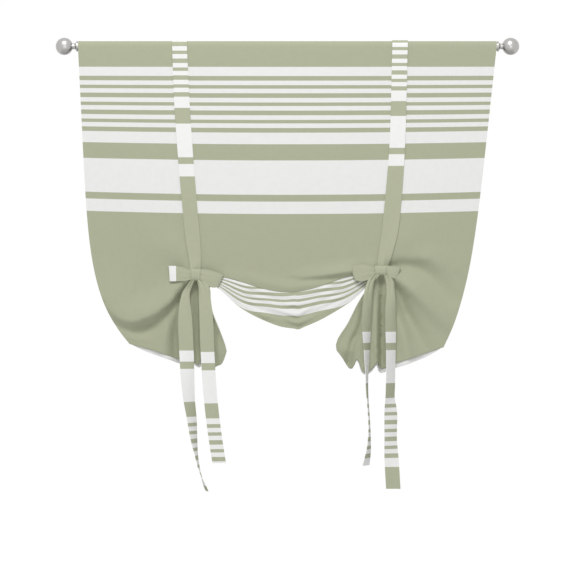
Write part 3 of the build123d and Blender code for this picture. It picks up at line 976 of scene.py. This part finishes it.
def back_strap_patch(ear, places, through):
    """The back strap, flat down the back of the curtain, with room for the cloth's bulge low down,
    then bunched and drawn to the knot by way of the place through, as (outwards, height)."""
    path = []
    for z, middle, width, bent in strap_line(places, 1):
        y = over_rod + bulge_room * smooth(room_starts, room_ends, z) if bent is None else bent
        path.append((ear.sign * middle, y, z, width, flat_curl, 0))
    through_x, through_z = through
    side_x = ear.sign * through_x
    knot_side = ear.sign * (ear.knot_x - into_knot)
    end_x = path[-1][0]
    end_z = path[-1][2]
    path += [
        (end_x * 0.4 + side_x * 0.6, over_rod + 6, (end_z + through_z) / 2, 26, 1.6, 10),
        (side_x, over_rod - 4, through_z + 1, 24, 2.6, 25),
        (side_x, 0, through_z - 1, 24, 2.7, 40),
        (side_x, -18, through_z, 24, 2.7, 55),
        (side_x * 0.6 + knot_side * 0.4, knot_y + 1, through_z + 5, 24, 2.6, 75),
        (knot_side, knot_y, ear.knot_z - 7, 22, 2.4, 90),
    ]
    places_along = np.linspace(0, len(path) - 1, len(path) * 2 - 1)
    columns = []
    for k in range(6):
        columns.append(along([(n, p[k]) for n, p in enumerate(path)], places_along))
    centre = np.stack(columns[:3], axis=1)
    width = columns[3]
    curl = columns[4]
    turned = np.radians(columns[5])
    tangent = np.gradient(centre, axis=0)
    tangent /= np.linalg.norm(tangent, axis=1, keepdims=True)
    wide = np.stack([np.cos(turned), np.sin(turned), 0 * turned], axis=1)
    wide -= tangent * np.sum(wide * tangent, axis=1, keepdims=True)
    wide /= np.linalg.norm(wide, axis=1, keepdims=True)
    normal = np.cross(tangent, wide)
    v = np.linspace(1, -1, back_strap_columns)[:, None, None]
    curled = curl[None, :, None]
    half = width[None, :, None] / 2
    points = centre[None] + wide[None] * half * np.sin(curled * v) / curled
    points = points + normal[None] * half * (np.cos(curled * v) - 1) / curled
    length = np.concatenate([[0], np.cumsum(np.linalg.norm(np.diff(centre, axis=0), axis=1))])
    across_print = v[:, :, 0] * tie_width / 2 + 0 * length
    down_print = back_strap_print + length + 0 * v[:, :, 0]
    return points, np.stack([across_print, down_print], axis=2), False


def back_tie(ear, strap, through, loop, tail, first_white):
    """One back tie as a single piece of sewn cloth."""
    tie = sew(
        f"back_tie_{ear.name}_cloth",
        [
            back_strap_patch(ear, strap, through),
            loop_patch(ear, -ear.sign, loop, inner_loop_prints),
            tail_patch(tail, first_white),
        ],
        tie_thickness,
        [tie_cloth],
    )
    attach(tie, "root")
    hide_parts(f"back_tie_{ear.name}")


back_tie(
    left,
    strap=[(0, 300.5, 41), (-320, 278, 41), (-560, 262, 40), (-600, 258, 34)],
    through=(221, -664),
    loop=[(5, 9, 5, -8), (15, 19, 13, -12), (36, 17, 28, -22), (58, 10, 44, -32), (77, 3, 61, -32)],
    tail=[(-641, -250, -31, 14, 0, 0.5), (-653, -241, -34, 21, 0, 0.4), (-668, -233, -39, 29, 0, 0.3),
          (-707, -229, -43, 33, 2, 0.2), (-735, -226.5, -45, 36, 4, 0.2), (-852, -221.5, -47, 38, 6, 0.1),
          (-992, -211.5, -48, 38, 14, 0.1),
          (-1098, -198.6, -48, 38, 10, 0.1), (-1159, -189, -48, 38, 6, 0.1)],
    first_white=-852,
)
back_tie(
    right,
    strap=[(0, 313.3, 42), (-320, 291, 41), (-550, 268, 40), (-590, 262, 34)],
    through=(231, -650),
    loop=[(8, 6, 8, -6), (22, 13, 22, -19), (40, 17, 38, -27), (58, 17, 56, -30), (76, 12, 70, -26),
          (79, 2, 78, -8)],
    tail=[(-628, 252, -31, 15, 0, 0.5), (-641, 240, -34, 17, 0, 0.4), (-655, 232, -38, 19, 6, 0.3),
          (-680, 226, -41, 25, 24, 0.2), (-735, 221, -44, 32, 38, 0.2), (-796, 219.5, -46, 36, 50, 0.1),
          (-847, 220.4, -47, 38, 62, 0.1),
          (-941, 221, -47, 38, 80, 0.1), (-1098, 227, -48, 38, 76, 0.1), (-1126, 225, -48, 38, 68, 0.1),
          (-1165, 218, -48, 36, 56, 0.1)],
    first_white=-796,
)


# Studio: a plain pale floor and backdrop colour, and soft light from the front
# and above, at which colours render about as they are.
floor_material = bpy.data.materials.new("floor")
floor_material.use_nodes = True
floor_tree = floor_material.node_tree
floor_shader = floor_tree.nodes["Principled BSDF"]
floor_shader.inputs["Base Color"].default_value = (0.8, 0.8, 0.8, 1)
floor_shader.inputs["Roughness"].default_value = 0.9
floor_shader.inputs["Emission Color"].default_value = (1, 1, 1, 1)
floor_seen = add_node(floor_tree, "LightPath")
floor_glow = add_node(floor_tree, "Math", operation="MULTIPLY")
floor_glow.inputs[1].default_value = 0.6
floor_tree.links.new(floor_seen.outputs["Is Camera Ray"], floor_glow.inputs[0])
floor_tree.links.new(floor_glow.outputs[0], floor_shader.inputs["Emission Strength"])
floor_height = -1.48
bpy.ops.mesh.primitive_plane_add(size=3, location=(0, 0, floor_height))
floor = bpy.context.object
floor.name = "floor"
floor.data.materials.append(floor_material)

world = bpy.data.worlds.new("studio")
bpy.context.scene.world = world
world.use_nodes = True
sky = world.node_tree
sky_light = sky.nodes["Background"]
seen = add_node(sky, "LightPath")
either = add_node(sky, "Math", operation="MAXIMUM")
any_seen = add_node(sky, "Math", operation="MAXIMUM")
brightness = add_node(sky, "Mix", data_type="FLOAT")
brightness.inputs[2].default_value = 0.5
brightness.inputs[3].default_value = 1.0
sky.links.new(seen.outputs["Is Camera Ray"], either.inputs[0])
sky.links.new(seen.outputs["Is Glossy Ray"], either.inputs[1])
sky.links.new(either.outputs[0], any_seen.inputs[0])
sky.links.new(seen.outputs["Is Transmission Ray"], any_seen.inputs[1])
sky.links.new(any_seen.outputs[0], brightness.inputs[0])
sky.links.new(brightness.outputs[0], sky_light.inputs["Strength"])
sky_light.inputs["Color"].default_value = (1, 1, 1, 1)


def lamp(name, place, aim, size, power):
    """A soft square lamp at place, turned to aim."""
    data = bpy.data.lights.new(name, "AREA")
    data.shape = "SQUARE"
    data.size = size
    data.energy = power
    light = bpy.data.objects.new(name, data)
    bpy.context.scene.collection.objects.link(light)
    light.location = place
    way = np.array(aim) - np.array(place)
    tilt = np.arctan2(hypot(way[0], way[1]), -way[2])
    light.rotation_euler = (tilt, 0, np.arctan2(way[1], way[0]) - pi / 2)
    return light


lamp("key", (-0.4, -3.0, 2.9), (0, 0, -0.6), 1.5, 118)
lamp("fill", (0.3, -4.0, -0.6), (0, 0, -0.6), 2.0, 15)

# Camera: level with the middle of the picture, far off with a long lens
frame_width = 1.598
lens = 150
sensor_width = 36
picture_middle = (-0.0028, -0.6696)
camera_data = bpy.data.cameras.new("camera")
camera_data.lens = lens
camera_data.sensor_width = sensor_width
camera_data.clip_end = 60
camera = bpy.data.objects.new("camera", camera_data)
bpy.context.scene.collection.objects.link(camera)
camera.location = (picture_middle[0], -frame_width * lens / sensor_width, picture_middle[1])
camera.rotation_euler = (pi / 2, 0, 0)
bpy.context.scene.camera = camera
bpy.context.scene.view_settings.view_transform = "Standard"
